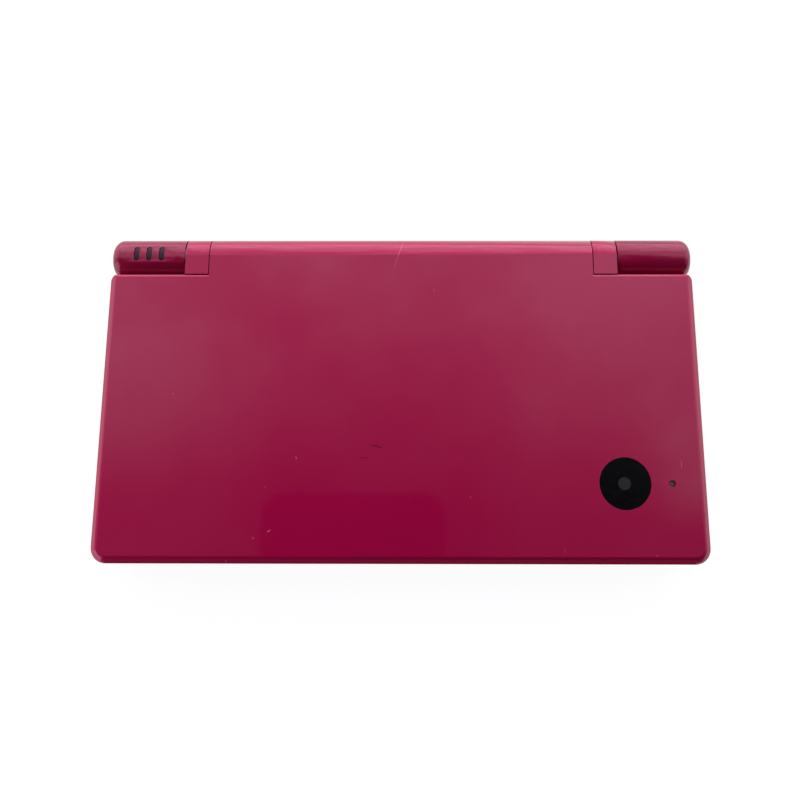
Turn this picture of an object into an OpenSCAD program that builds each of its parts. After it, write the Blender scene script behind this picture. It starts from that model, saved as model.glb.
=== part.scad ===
// Clamshell handheld game console, closed at rest.
// Millimetres. +X is to the player's right, +Y towards the hinge, +Z up.
// The origin lies on the table under the middle of the closed case.

/* [Case] */
// Overall width, across the lid
body_w = 137; // [130:1:170]
// Overall depth, from the front edge to the back of the hinge
body_d = 74.9; // [73:0.1:92]
// Overall height when closed, feet included
body_h = 18.9; // [18.9:0.1:24]
// Height that the rubber feet stand proud of the base
foot_h = 0.5; // [0.3:0.1:0.6]
// Height of the lid
lid_h = 7.3; // [6.8:0.1:9]
// Gap between the closed lid and the base
lid_gap = 0.3; // [0.2:0.05:0.5]
// Height of the lower half of the base
tray_h = 6.0; // [5.9:0.1:6.3]
// Outer wall of the lid and of the base
wall = 1.3; // [1:0.1:1.6]
// Corner radius of the lid, seen from above
corner_r = 3.5; // [2.4:0.1:4]
// Corner radius of the base, which lies a little inside the lid's outline
base_corner_r = 2.8; // [2.4:0.1:4]
// Radius of the shoulder round the lid's top
lid_edge_r = 1.2; // [0.6:0.1:1.6]
// Width of the sloping band outside that shoulder
lid_bevel_w = 0.95; // [0.4:0.05:1.2]
// Rounding of the base's lower edge
base_edge_r = 2.2; // [1:0.1:2.4]
// Gap between two parts that move past each other
moving_gap = 0.3; // [0.2:0.05:0.4]
// Gap at a seam between two parts that are fixed together
seam = 0.2; // [0.1:0.05:0.3]

/* [Hinge] */
// Radius of the hinge barrels
barrel_r = 4.75; // [4.5:0.05:5]
// Length of each of the base's two barrels
barrel_len = 17.6; // [15:0.1:22]
// Rounding of the barrels' outer ends
barrel_end_r = 2.4; // [1:0.1:3]
// How far each barrel's end stands out from the base's side
barrel_out = 0.5; // [0.3:0.1:0.8]
// Width of the lid's two hinge knuckles
knuckle_w = 5.5; // [5:0.1:8]
// Radius of the shaft that the lid turns on, at the right
shaft_r = 1.6; // [1.4:0.05:2]
// Outer radius of the sleeve that the lid turns on, at the left
sleeve_r = 3.4; // [3:0.05:3.5]
// Running clearance between shaft and bore
running_gap = 0.05; // [0.02:0.01:0.08]

/* [Screens] */
// Width of each screen's visible picture
screen_w = 66; // [60:1:70]
// Depth of each screen's visible picture
screen_d = 49.5; // [40:0.5:52]
// Distance from the case's middle back to the screens' centre
screen_y = -4.5; // [-6:0.1:-3]

/* [Controls] */
// Distance from the case's side to the centre of each control cluster
cluster_inset = 17.5; // [17:0.1:20]
// Span of the cross-shaped pad
pad_span = 18.4; // [16:0.1:19]
// Width of the pad's arms
pad_arm = 6; // [5:0.1:7]
// Radius of the four face buttons
face_r = 3.5; // [3:0.1:3.8]
// Distance from the cluster's centre to each face button
face_offset = 7.3; // [6.8:0.1:7.6]
// Radius of the start, select and power buttons
menu_r = 2.0; // [1.6:0.1:2.4]
// How far the face buttons travel
press = 0.45; // [0.3:0.05:0.5]
// Clearance round every button
button_gap = 0.2; // [0.15:0.05:0.3]
// Length of each shoulder button
shoulder_len = 16.2; // [15:0.1:16.3]
// Length of each volume button
volume_len = 7; // [5:0.5:8]

/* [Camera] */
// Radius of the round camera window
camera_r = 5.7; // [5:0.05:6.5]
// Distance from the lid's right side to the camera's centre
camera_inset = 18.25; // [16:0.05:22]
// Distance from the lid's front edge to the camera's centre
camera_from_front = 17.4; // [14:0.1:30]
// Radius of the camera's indicator light
light_r = 0.75; // [0.6:0.05:1]

/* [Ports] */
// Width of the game card slot
card_w = 33.8; // [33.5:0.1:35]
// Height of the game card slot
card_h = 4.3; // [4.2:0.05:4.4]
// Depth of the game card slot
card_d = 34.5; // [30:0.1:34.6]
// Width of the memory card slot
memory_w = 24.4; // [24.2:0.1:25]
// Height of the memory card slot
memory_h = 2.4; // [2.2:0.1:2.6]
// Radius of the headphone socket
headphone_r = 1.8; // [1.75:0.05:1.85]
// Depth of the headphone socket
headphone_d = 13; // [12:0.5:14]
// Radius of the stylus
stylus_r = 2.2; // [1.8:0.01:2.2]
// Length of the stylus
stylus_len = 92; // [70:1:100]

/* [Battery] */
// Width of the battery
battery_w = 54; // [40:1:66]
// Depth of the battery
battery_d = 28.6; // [20:0.1:28.8]

/* [Hidden] */
$fn = 64;

tiny = 0.01;   // overshoot of a cut past the face that it opens
past = 1;      // overshoot of a cut in free space
sides = [-1, 1];

// Case planes
half_w = body_w / 2;
half_d = body_d / 2;
hinge_y = half_d - barrel_r;
hinge_z = body_h - barrel_r;
lid_front = -half_d;
lid_rear = hinge_y - barrel_r - moving_gap;
lid_over = 0.35;                          // how far the lid's top reaches over the barrels' fronts
lid_back = lid_rear + lid_over;
lid_bottom = body_h - lid_h;
rim_h = 1.8;                              // height of the lid's inner shell at its rim
lid_split = lid_bottom + rim_h;
lid_recess = 1.0;                         // depth of the inner shell's panel below its rim
lid_panel_z = lid_bottom + lid_recess;
lid_rim_w = 3;
lid_roof = 1.4;                           // thickness of the lid's top
lid_ceiling = body_h - lid_roof;
base_top = lid_bottom - lid_gap;
base_inset = 0.2;                         // the base is this much smaller than the lid at each side
base_x = half_w - base_inset;
base_front = -half_d + 0.15;
base_rear = half_d - 0.45;
case_split = foot_h + tray_h;
case_seam = 0.1;                          // shadow line between the base's two halves
upper_z = case_split + case_seam;
floor_t = 1.2;
floor_z = foot_h + floor_t;
plate_t = 1.3;                            // thickness of the base's top
plate_z = base_top - plate_t;

// Hinge stations along X
barrel_x1 = base_x + barrel_out;
barrel_x0 = barrel_x1 - barrel_len;
knuckle_x1 = barrel_x0 - moving_gap;
knuckle_x0 = knuckle_x1 - knuckle_w;
centre_x = knuckle_x0 - seam;             // half width of the lid's central barrel
barrel_wall = 1.25;
barrel_bore_r = barrel_r - barrel_wall;
barrel_bore_x1 = barrel_x1 - 3.1;         // end of the bore inside each barrel
trough_r = barrel_r + moving_gap;
trough_wall = 1.2;
rear_lip_z = hinge_z - 4.35;              // top of the base's rear wall behind the lid's barrel

// Stack under the base's top plate, from the top down
board_t = 0.8;
board_z = case_split - 0.2;
board_top = board_z + board_t;
touch_t = 0.8;
lcd_t = 1.4;
panel_gap = 0.05;
lcd_margin = 1.75;                        // panel edge beyond the visible picture
frame_t = 0.25;
flange_t = 0.6;
cap_h = 0.65;                             // height of the face buttons above the base's top
menu_cap_h = 0.3;
button_z = plate_z - 1.0;                 // underside of the buttons
membrane_t = 0.45;
dome_gap = 0.15;                          // gap left under a button that is pressed home

// Controls
cluster_x = half_w - cluster_inset;
pad_y = 6.5;
face_y = 8;
menu_x = screen_w / 2 + 10.5;
start_y = -14;
select_y = -22;
power_y = -22;
pad_ball_z = button_z - 0.3;
pad_ball_r = 1.0;
pad_flange_r = pad_span / 2 + 1.1;
pad_gap = 0.35;

// Shoulder buttons
shoulder_z0 = 2.7;
shoulder_z1 = hinge_z - barrel_r - 0.5;
shoulder_d = 4.6;
shoulder_gap = 0.25;
shoulder_swing = 0.75;                    // room behind the button for its travel
shoulder_x0 = base_x - shoulder_len;
rib_y = base_rear - shoulder_d - shoulder_swing;   // wall behind each shoulder button
shoulder_pin_x = shoulder_x0 + 1.9;
shoulder_pin_y = base_rear - 2.4;
shoulder_pin_r = 0.8;
spring_r = 1.35;                          // mean radius of the coil
spring_wire_r = 0.2;
spring_turns = 3;
spring_z = (shoulder_z0 + shoulder_z1) / 2;

// Stylus silo, in the lower shell
silo_r = stylus_r + 0.1;
silo_wall = 0.8;
silo_x0 = base_x - stylus_len - 1.5;
stylus_y = base_front + silo_r + 2.3;
stylus_z = foot_h + 0.65 + silo_r;

// Battery bay, in the lower shell
battery_x = 6;
battery_h = 3.8;
bay_gap = 0.4;
bay_wall = 0.8;
bay_x = battery_w / 2 + bay_gap;          // half width of the bay
bay_y0 = stylus_y + silo_r + silo_wall;
bay_y1 = bay_y0 + battery_d + 2 * bay_gap;
bay_y = (bay_y0 + bay_y1) / 2;
cover_t = 0.75;
cover_z = foot_h + cover_t;
cover_gap = 0.05;
cover_head_h = 0.42;                      // height of the cover screws' heads
cover_tab = 7;                            // how far the cover reaches past the bay on each side
cover_x = bay_x + cover_tab;
cover_screw_x = bay_x + 4;
bay_top = cover_z + cover_gap + battery_h + 0.15;

// Ports
card_x = -8;
card_z1 = board_z - 0.2;                  // roof of the card slot
card_z0 = card_z1 - card_h;
cage_t = 0.2;
memory_y = 7;
memory_d = 26;
memory_z1 = board_z - 0.3;
memory_z0 = memory_z1 - memory_h;
memory_door_len = 28;
memory_door_z0 = 2.9;
memory_door_t = 1.1;
memory_pin_r = 0.5;
memory_pin_x = base_x - memory_door_t;
memory_pin_y = memory_y + memory_door_len / 2 - memory_door_t;
headphone_x = -base_x + 18;
headphone_w = 7;
headphone_h = 4.5;
headphone_z = board_z - 0.05 - headphone_h / 2;
headphone_nose_r = 2.9;
charging_x = 31;
charging_w = 9;
charging_h = 3.6;
charging_d = 8;
charging_z = board_z - 0.2 - charging_h / 2;
strap_x = 42.5;
strap_hole_w = 1.9;
strap_bar = 1.6;

// Screws and feet
screw_r = 0.75;
screw_fit = 0.03;
screw_head_r = 1.6;
screw_head_h = 0.9;
screw_front_y = base_front + 10.8;
screw_rear_y = base_rear - 11.6;
case_screw_at = [for (s = sides, y = [screw_front_y, screw_rear_y]) [s * (base_x - 6.3), y],
  [card_x - card_w / 2 - 6.1, screw_rear_y], [card_x + card_w / 2 + 5.6, screw_rear_y]];
lid_screw_in = 5.1;                       // distance of the lid's screws from its edges
lid_screw_at = [for (s = sides, y = [lid_front + lid_screw_in, lid_rear - lid_screw_in])
  [s * (half_w - lid_screw_in), y]];
foot_r = 2.6;
foot_at = [for (s = sides, y = [screw_front_y, screw_rear_y]) [s * (base_x - 14.5), y]];

// Status lights in the left barrel
light_slot_x = [6.2, 9.15, 12.1];         // distances from the barrel's outer end
light_slot_w = 1.3;
light_slot_len = 3.4;
light_slot_turn = 6;                      // degrees from straight up, towards the back
ribbon_x = [10.5, 14.3];                  // the display ribbon's edges, from the barrel's outer end

// Camera and lid contents
camera_x = half_w - camera_inset;
camera_y = lid_front + camera_from_front;
light_x = camera_x + 10.45;
camera_window_t = 0.7;
camera_throat_r = 2.9;
lens_t = 0.5;
lens_margin = [4.2, 3.4];                 // lens beyond the picture, across and along
lid_lcd_z = lid_split + panel_gap;
speaker_w = 12;
speaker_d = 19;
speaker_h = 2.8;
speaker_y = screen_y + 1;
inner_camera_x = 0;
lid_head_r = 1.4;                         // lid screws' heads
lid_head_h = 0.5;
lid_head_z1 = 1.2;                        // height of their seat above the lid's underside
bumper_r = 1.9;
bumper_in = 0.6;                          // depth of the bumpers' recess
inner_camera_r = 2.1;
mic_x = -9.5;

// ---------- Shared shapes ----------

// Rounded rectangle in the plane, from exact arcs
module plate2d(x0, x1, y0, y1, r) {
  translate([x0 + r, y0]) square([x1 - x0 - 2 * r, y1 - y0]);
  translate([x0, y0 + r]) square([x1 - x0, y1 - y0 - 2 * r]);
  for (x = [x0 + r, x1 - r], y = [y0 + r, y1 - r]) translate([x, y]) circle(r);
}

module block(x0, x1, y0, y1, z0, z1) {
  translate([x0, y0, z0]) cube([x1 - x0, y1 - y0, z1 - z0]);
}

module rounded_block(x0, x1, y0, y1, z0, z1, r) {
  translate([0, 0, z0]) linear_extrude(z1 - z0) plate2d(x0, x1, y0, y1, r);
}

// Rod along X and along Y
module rod_x(x0, x1, r) {
  translate([x0, 0, 0]) rotate([0, 90, 0]) cylinder(r = r, h = x1 - x0);
}

module rod_y(y0, y1, r) {
  translate([0, y0, 0]) rotate([-90, 0, 0]) cylinder(r = r, h = y1 - y0);
}

module on_hinge() {
  translate([0, hinge_y, hinge_z]) children();
}

module both_sides() {
  children();
  mirror([1, 0, 0]) children();
}

// Half section of a post with its upper outer corner rounded
module post2d(r, h, e) {
  square([r, h - e]);
  square([r - e, h]);
  intersection() {
    translate([r - e, h - e]) circle(e);
    square([r, h]);
  }
}

// Section with both upper corners rounded
module ridge2d(x0, x1, h, e) {
  translate([x0, 0]) square([x1 - x0, h - e]);
  translate([x0 + e, 0]) square([x1 - x0 - 2 * e, h]);
  for (x = [x0 + e, x1 - e]) translate([x, h - e]) circle(e);
}

// Section whose upper corner at x0 is rounded and whose other end is square
module step2d(x0, x1, h, e) {
  translate([x0, 0]) square([x1 - x0, h - e]);
  translate([x0 + e, 0]) square([x1 - x0 - e, h]);
  translate([x0 + e, h - e]) circle(e);
}

// Slab with rounded corners and a rounded upper edge all round
module rounded_slab(x, y0, y1, h, r, e) {
  for (s = sides, y = [y0 + r, y1 - r]) translate([s * (x - r), y, 0]) rotate_extrude() post2d(r, h, e);
  translate([0, y1 - r, 0]) rotate([90, 0, 0]) linear_extrude(y1 - y0 - 2 * r) ridge2d(-x, x, h, e);
  translate([r - x, 0, 0]) rotate([90, 0, 90]) linear_extrude(2 * (x - r)) ridge2d(y0, y1, h, e);
}

// The same slab with a square rear end
module open_slab(x, y0, y1, h, r, e) {
  for (s = sides) translate([s * (x - r), y0 + r, 0]) rotate_extrude() post2d(r, h, e);
  translate([0, y1, 0]) rotate([90, 0, 0]) linear_extrude(y1 - y0 - r) ridge2d(-x, x, h, e);
  translate([r - x, 0, 0]) rotate([90, 0, 90]) linear_extrude(2 * (x - r)) step2d(y0, y1, h, e);
}

// What rounding a vertical edge takes away, at the corner towards +X and +Y
module corner_cut(r, h) {
  difference() {
    cube([r + past, r + past, h]);
    translate([0, 0, -past]) cylinder(r = r, h = h + 2 * past);
  }
}

// Cross-headed screw, head down at the origin, shank up
module screw(len, head_r, head_h) {
  difference() {
    union() {
      cylinder(r = head_r, h = head_h);
      cylinder(r = screw_r, h = len);
    }
    for (a = [0, 90]) rotate([0, 0, a]) cube([head_r * 1.2, 0.4, 0.7], center = true);
  }
}

// Slot with round ends, centred, cut along Z
module slot2d(w, d) {
  r = min(w, d) / 2;
  square([w > d ? w - 2 * r : w, w > d ? d : d - 2 * r], center = true);
  for (s = sides) translate(w > d ? [s * (w / 2 - r), 0] : [0, s * (d / 2 - r)]) circle(r);
}

// ---------- Lid ----------

lid_bevel_a = 40;                         // slope of the band round the lid's top
shoulder_w = lid_edge_r * sin(lid_bevel_a);
shoulder_drop = lid_edge_r * (1 - cos(lid_bevel_a));
rear_corner_r = 1.5;
rear_slope_a = 25;                        // shallow slope along the lid's upper rear edge
rear_slope_w = 0.45;

// Section of the lid's edge, as wide as its corner radius: rounded shoulder, sloping band, wall
module lid_edge2d() {
  w = corner_r;
  flat = w - lid_bevel_w - shoulder_w;
  polygon([[0, 0], [w, 0], [w, lid_h - shoulder_drop - lid_bevel_w * tan(lid_bevel_a)],
    [w - lid_bevel_w, lid_h - shoulder_drop], [flat, lid_h], [0, lid_h]]);
  intersection() {
    translate([flat, lid_h - lid_edge_r]) circle(lid_edge_r);
    square([w, lid_h]);
  }
}

module lid_slab() {
  x = half_w - corner_r;
  y = lid_front + corner_r;
  block(-x, x, y, lid_back, lid_bottom, body_h);
  translate([x, y, lid_bottom]) rotate([90, 0, -90]) linear_extrude(2 * x) lid_edge2d();
  both_sides() translate([x, y, lid_bottom]) {
    rotate_extrude() lid_edge2d();
    translate([0, lid_back - y, 0]) rotate([90, 0, 0]) linear_extrude(lid_back - y) lid_edge2d();
  }
}

// Rounds the lid's two rear corners, seen from above, where its rear face is at y
module lid_rear_trim(y) {
  both_sides() translate([half_w - rear_corner_r, y - rear_corner_r, lid_bottom - past])
    corner_cut(rear_corner_r, lid_h + 2 * past);
}

module lid_shape() {
  difference() {
    lid_slab();
    lid_rear_trim(lid_back);
    both_sides() {
      on_hinge() rod_x(centre_x, half_w + past, trough_r);
      translate([centre_x, lid_back - rear_slope_w, body_h]) rotate([-rear_slope_a, 0, 0])
        cube([half_w - centre_x + past, past, past]);
    }
  }
  block(-centre_x, centre_x, lid_back - 2 * rear_slope_w, hinge_y, hinge_z, body_h);
  on_hinge() rod_x(-centre_x, centre_x, barrel_r);
}

module lid_boss_at() {
  for (p = lid_screw_at) translate([p.x, p.y, 0]) children();
}

module lid_outer_shell() {
  boss_r = 2.0;
  color([0.58, 0.1, 0.28]) difference() {
    union() {
      difference() {
        lid_shape();
        block(-half_w - past, half_w + past, lid_front - past, half_d + past, 0, lid_split);
        rounded_block(-half_w + wall, half_w - wall, lid_front + wall, lid_rear - wall,
          lid_split - tiny, lid_ceiling, corner_r - wall);
      }
      lid_boss_at() translate([0, 0, lid_split]) cylinder(r = boss_r, h = lid_ceiling - lid_split + tiny);
    }
    lid_boss_at() translate([0, 0, lid_split - past]) cylinder(r = screw_r + screw_fit, h = past + 3);
    on_hinge() rod_x(-centre_x - past, centre_x + past, barrel_bore_r);
    block(-centre_x + 3, centre_x - 3, lid_rear - wall - tiny, hinge_y, lid_split - past, hinge_z + 1.5);
    translate([camera_x, camera_y, body_h - camera_window_t]) cylinder(r = camera_r + 0.08, h = past);
    translate([camera_x, camera_y, lid_ceiling - past]) cylinder(r = camera_throat_r, h = lid_roof + past);
    translate([light_x, camera_y, lid_ceiling - past]) cylinder(r = light_r, h = lid_roof + 2 * past);
  }
}

module speaker_slots() {
  for (s = sides, i = [-2 : 2]) translate([s * cluster_x + i * 2.1, speaker_y, lid_panel_z - past])
    linear_extrude(rim_h + past) slot2d(1.1, 9.6 - 1.6 * abs(i));
}

// Knuckle that carries the lid on the hinge, between x0 and x1
module knuckle(x0, x1) {
  on_hinge() rod_x(x0, x1, barrel_r);
  block(x0, x1, lid_back + seam, hinge_y, lid_bottom, body_h);
  block(x0, x1, lid_rear - wall, hinge_y, lid_bottom, lid_split - seam);
}

module lid_inner_shell() {
  inner_edge_r = 0.5;
  opening = [screen_w + 1, screen_d + 1];
  color([0.56, 0.1, 0.27]) difference() {
    union() {
      difference() {
        translate([0, 0, lid_split]) mirror([0, 0, 1])
          open_slab(half_w, lid_front, lid_rear, rim_h, corner_r, inner_edge_r);
        lid_rear_trim(lid_rear);
        rounded_block(-half_w + lid_rim_w, half_w - lid_rim_w, lid_front + lid_rim_w, lid_rear - lid_rim_w,
          lid_bottom - past, lid_panel_z, corner_r);
      }
      intersection() {
        on_hinge() rod_x(-centre_x, centre_x, barrel_r);
        block(-centre_x, centre_x, lid_rear, half_d + past, 0, lid_split);
      }
      block(-centre_x, centre_x, lid_rear - wall, hinge_y, lid_bottom, lid_split);
      knuckle(knuckle_x0, knuckle_x1);
      knuckle(-knuckle_x1, -knuckle_x0);
      lid_boss_at() translate([0, 0, lid_bottom]) cylinder(r = 2.6, h = rim_h);
    }
    translate([0, screen_y, 0]) {
      block(-opening.x / 2, opening.x / 2, -opening.y / 2, opening.y / 2, 0, lid_split + past);
      rounded_block(-screen_w / 2 - lens_margin.x, screen_w / 2 + lens_margin.x,
        -screen_d / 2 - lens_margin.y, screen_d / 2 + lens_margin.y, 0, lid_panel_z + lens_t, 1.5);
    }
    speaker_slots();
    lid_boss_at() {
      cylinder(r = screw_r + 0.15, h = lid_split + past);
      translate([0, 0, lid_bottom - past]) cylinder(r = lid_head_r + 0.1, h = past + lid_head_z1);
      translate([0, 0, lid_bottom - past]) cylinder(r = bumper_r + 0.05, h = past + bumper_in);
    }
    on_hinge() {
      rod_x(-centre_x - past, centre_x + past, barrel_bore_r);
      rod_x(knuckle_x0 - past, knuckle_x1 + past, shaft_r + screw_fit);
      rod_x(-knuckle_x1 - past, -knuckle_x0 + past, sleeve_r + running_gap);
    }
    block(-centre_x + 3, centre_x - 3, lid_rear - wall - past, hinge_y, lid_split - 0.6, lid_split + past);
    translate([inner_camera_x, hinge_y, hinge_z - barrel_r - past])
      cylinder(r = inner_camera_r, h = past + barrel_r);
    translate([mic_x, hinge_y, hinge_z - barrel_r - past]) cylinder(r = 0.5, h = past + barrel_r);
  }
}

module camera_window() {
  color([0.02, 0.02, 0.03]) translate([camera_x, camera_y, body_h - camera_window_t])
    cylinder(r = camera_r, h = camera_window_t - 0.03);
}

module camera_module() {
  module_z = lid_split + 0.3;
  lens_z = body_h - camera_window_t - 0.5;
  color([0.1, 0.1, 0.11]) {
    block(camera_x - 4.2, camera_x + 4.2, camera_y - 4.2, camera_y + 4.2, module_z, module_z + 1.6);
    translate([camera_x, camera_y, module_z + 1.6 - tiny]) difference() {
      cylinder(r = camera_throat_r - 0.15, h = lens_z - module_z - 1.6);
      translate([0, 0, lens_z - module_z - 2.2]) cylinder(r1 = 1.0, r2 = 1.5, h = past);
    }
  }
}

module camera_light_pipe() {
  color([0.35, 0.33, 0.34]) translate([light_x, camera_y, 0]) {
    translate([0, 0, lid_ceiling - 0.8]) cylinder(r = 1.5, h = 0.8);
    translate([0, 0, lid_ceiling - tiny]) cylinder(r = light_r - 0.04, h = lid_roof - 0.2);
  }
}

module upper_screen_lens() {
  fit = 0.1;
  color([0.03, 0.03, 0.035]) translate([0, screen_y, 0])
    rounded_block(-screen_w / 2 - lens_margin.x + fit, screen_w / 2 + lens_margin.x - fit,
      -screen_d / 2 - lens_margin.y + fit, screen_d / 2 + lens_margin.y - fit,
      lid_panel_z + 0.02, lid_panel_z + lens_t, 1.4);
}

// Glass panel, seen from above or below, with its steel tray
module lcd_panel(z) {
  color([0.13, 0.14, 0.16]) translate([0, screen_y, 0])
    block(-screen_w / 2 - lcd_margin, screen_w / 2 + lcd_margin, -screen_d / 2 - lcd_margin,
      screen_d / 2 + lcd_margin, z, z + lcd_t);
}

// Steel tray round a panel: its floor is outside the panel's back, at the side that back points to
module lcd_frame(z, back) {
  x = screen_w / 2 + lcd_margin + frame_t + 0.05;
  y = screen_d / 2 + lcd_margin + frame_t + 0.05;
  z0 = back < 0 ? z - frame_t : z;
  color([0.7, 0.71, 0.73]) translate([0, screen_y, 0]) difference() {
    block(-x, x, -y, y, z0, z0 + lcd_t + frame_t);
    block(-x + frame_t, x - frame_t, -y + frame_t, y - frame_t, back < 0 ? z : z - past,
      back < 0 ? z + lcd_t + past : z + lcd_t);
    for (s = sides) translate([s * 20, 0, 0]) rounded_block(-9, 9, -16, 16, z - past, z + lcd_t + past, 3);
  }
}

module upper_lcd_panel() {
  lcd_panel(lid_lcd_z);
}

module upper_lcd_frame() {
  lcd_frame(lid_lcd_z, 1);
}

module speaker(s) {
  color([0.2, 0.2, 0.22]) translate([s * cluster_x, speaker_y, lid_split + panel_gap]) difference() {
    rounded_block(-speaker_w / 2, speaker_w / 2, -speaker_d / 2, speaker_d / 2, 0, speaker_h, 5.5);
    rounded_block(-speaker_w / 2 + 1, speaker_w / 2 - 1,
      -speaker_d / 2 + 1, speaker_d / 2 - 1, -past, 0.5, 4.5);
  }
}

module speaker_left() {
  speaker(-1);
}

module speaker_right() {
  speaker(1);
}

module inner_camera_window() {
  color([0.02, 0.02, 0.03]) translate([inner_camera_x, hinge_y, hinge_z - barrel_r + 0.55])
    cylinder(r = inner_camera_r - 0.05, h = 0.5);
}

module inner_camera_module() {
  z0 = hinge_z - barrel_r + 1.1;
  color([0.1, 0.1, 0.11]) translate([inner_camera_x, hinge_y, 0]) {
    translate([0, 0, z0]) cylinder(r = inner_camera_r - 0.2, h = 1.2);
    block(-2.4, 2.4, -2.2, 2.2, z0 + 1.2 - tiny, z0 + 3.4);
  }
}

module microphone() {
  z0 = hinge_z - barrel_bore_r + 0.2;
  color([0.55, 0.55, 0.57]) translate([mic_x, hinge_y, z0]) {
    cylinder(r = 0.9, h = 0.4);
    translate([0, 0, 0.4 - tiny]) cylinder(r = 1.9, h = 1.2);
  }
}

module lid_screws() {
  color([0.6, 0.6, 0.62]) lid_boss_at() translate([0, 0, lid_bottom + lid_head_z1 - lid_head_h - 0.05])
    screw(3.2, lid_head_r, lid_head_h);
}

// Soft plugs that cover the lid's screws and keep the closed lid off the base
module lid_bumpers() {
  color([0.35, 0.08, 0.18]) lid_boss_at() translate([0, 0, lid_bottom - lid_gap + 0.05])
    cylinder(r = bumper_r, h = bumper_in + lid_gap - 0.1);
}

// Ribbon from the upper display, rolled where it passes through the hinge
module display_flex() {
  roll_r = 2.0;
  t = 0.15;
  end_x = -base_x + 5;
  color([0.75, 0.45, 0.15]) {
    block(-34, -22, screen_y + screen_d / 2 + lcd_margin + 0.4, hinge_y, hinge_z - t, hinge_z);
    on_hinge() difference() {
      rod_x(end_x, -20, roll_r);
      rod_x(end_x - past, -20 + past, roll_r - t);
      block(-centre_x + 1, -19, -2 * roll_r, 0, -2 * roll_r, -0.6);
    }
  }
}

module hinge_shaft() {
  flat = 0.5;
  color([0.72, 0.73, 0.75]) on_hinge() difference() {
    rod_x(knuckle_x0 + 0.2, barrel_x0 + 4, shaft_r);
    block(knuckle_x0, knuckle_x1 - 1, -shaft_r, shaft_r, shaft_r - flat, shaft_r + past);
  }
}

// ---------- Base shells ----------

module case_screw_places() {
  for (p = case_screw_at) translate([p.x, p.y, 0]) children();
}

// Space round the right shoulder button: gap is left at its ends, swing behind it
module shoulder_space(gap, swing) {
  block(shoulder_x0 - gap, base_x + past, base_rear - shoulder_d - swing, base_rear + past,
    shoulder_z0 - gap, shoulder_z1 + gap);
}

module right_barrel() {
  on_hinge() translate([barrel_x0, 0, 0]) rotate([0, 90, 0]) rotate_extrude()
    post2d(barrel_r, barrel_len, barrel_end_r);
}

module barrel_bore() {
  on_hinge() rod_x(barrel_x0 - past, barrel_bore_x1, barrel_bore_r);
}

module pad_cross(span, arm, z0, z1) {
  r = 0.6;
  rounded_block(-span / 2, span / 2, -arm / 2, arm / 2, z0, z1, r);
  rounded_block(-arm / 2, arm / 2, -span / 2, span / 2, z0, z1, r);
}

face_at = [[face_offset, 0], [0, -face_offset], [0, face_offset], [-face_offset, 0]];   // a, b, x, y

module button_holes() {
  z = plate_z - past;
  h = plate_t + 2 * past;
  translate([-cluster_x, pad_y, 0])
    pad_cross(pad_span + 2 * pad_gap, pad_arm + 2 * pad_gap, z, z + h);
  for (p = face_at) translate([cluster_x + p.x, face_y + p.y, z]) cylinder(r = face_r + button_gap, h = h);
  for (y = [start_y, select_y]) translate([menu_x, y, z]) cylinder(r = menu_r + button_gap, h = h);
  translate([-menu_x, power_y, z]) cylinder(r = menu_r + button_gap, h = h);
}

volume_z = upper_z + 1.9;
volume_h = 2.2;
volume_at = [8.5, 18];

module pill_x(len, h, x0, x1) {
  translate([x0, 0, 0]) rotate([90, 0, 90]) linear_extrude(x1 - x0) slot2d(len, h);
}

module base_upper_shell() {
  h = base_top - upper_z;
  edge = 0.6;
  window = [screen_w + 1.5, screen_d + 1.5];
  color([0.57, 0.1, 0.27]) difference() {
    union() {
      difference() {
        translate([0, 0, upper_z]) rounded_slab(base_x, base_front, base_rear, h, base_corner_r, edge);
        difference() {
          rounded_block(-base_x + wall, base_x - wall, base_front + wall, base_rear - wall,
            upper_z - past, plate_z, base_corner_r - wall);
          on_hinge() rod_x(-barrel_x0 - wall, barrel_x0 + wall, trough_r + trough_wall);
        }
        block(-half_w, half_w, 0, half_d, 0, upper_z);
      }
      both_sides() right_barrel();
      case_screw_places() translate([0, 0, board_top + 0.05])
        cylinder(r = 2.0, h = plate_z - board_top);
      both_sides() translate([shoulder_pin_x, shoulder_pin_y, shoulder_z1])
        cylinder(r = shoulder_pin_r + 0.9, h = 1.4);
    }
    on_hinge() rod_x(-barrel_x0, barrel_x0, trough_r);
    block(-barrel_x0, barrel_x0, hinge_y, half_d + past, rear_lip_z, body_h);
    both_sides() barrel_bore();
    both_sides() shoulder_space(shoulder_gap, shoulder_swing);
    translate([0, screen_y, 0])
      rounded_block(-window.x / 2, window.x / 2, -window.y / 2, window.y / 2,
        upper_z, base_top + past, 0.8);
    button_holes();
    case_screw_places() translate([0, 0, board_top - past])
      cylinder(r = screw_r + screw_fit, h = plate_z - board_top + past + 0.4);
    for (y = volume_at) translate([0, y, volume_z])
      pill_x(volume_len + 2 * button_gap, volume_h + 2 * button_gap, -base_x - past, -base_x + wall + past);
    light_slots(light_slot_w, light_slot_len);
    block(-barrel_x1 + ribbon_x[0] - 0.4, -barrel_x1 + ribbon_x[1] + 0.4, hinge_y - 2.6, hinge_y - 1.6,
      upper_z, hinge_z - 1.5);
    both_sides() translate([shoulder_pin_x, shoulder_pin_y, shoulder_z1])
      cylinder(r = shoulder_pin_r + screw_fit, h = 0.75);
  }
}

// Round-ended shafts, from the hinge axis up through the left barrel, for the three status lights
module light_slots(w, len) {
  on_hinge() for (d = light_slot_x) translate([-barrel_x1 + d, 0, 0]) rotate([-light_slot_turn, 0, 0])
    linear_extrude(barrel_r + past) slot2d(w, len);
}

module base_outline_lower() {
  translate([0, 0, case_split]) mirror([0, 0, 1])
    rounded_slab(base_x, base_front, base_rear, tray_h, base_corner_r, base_edge_r);
}

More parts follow.
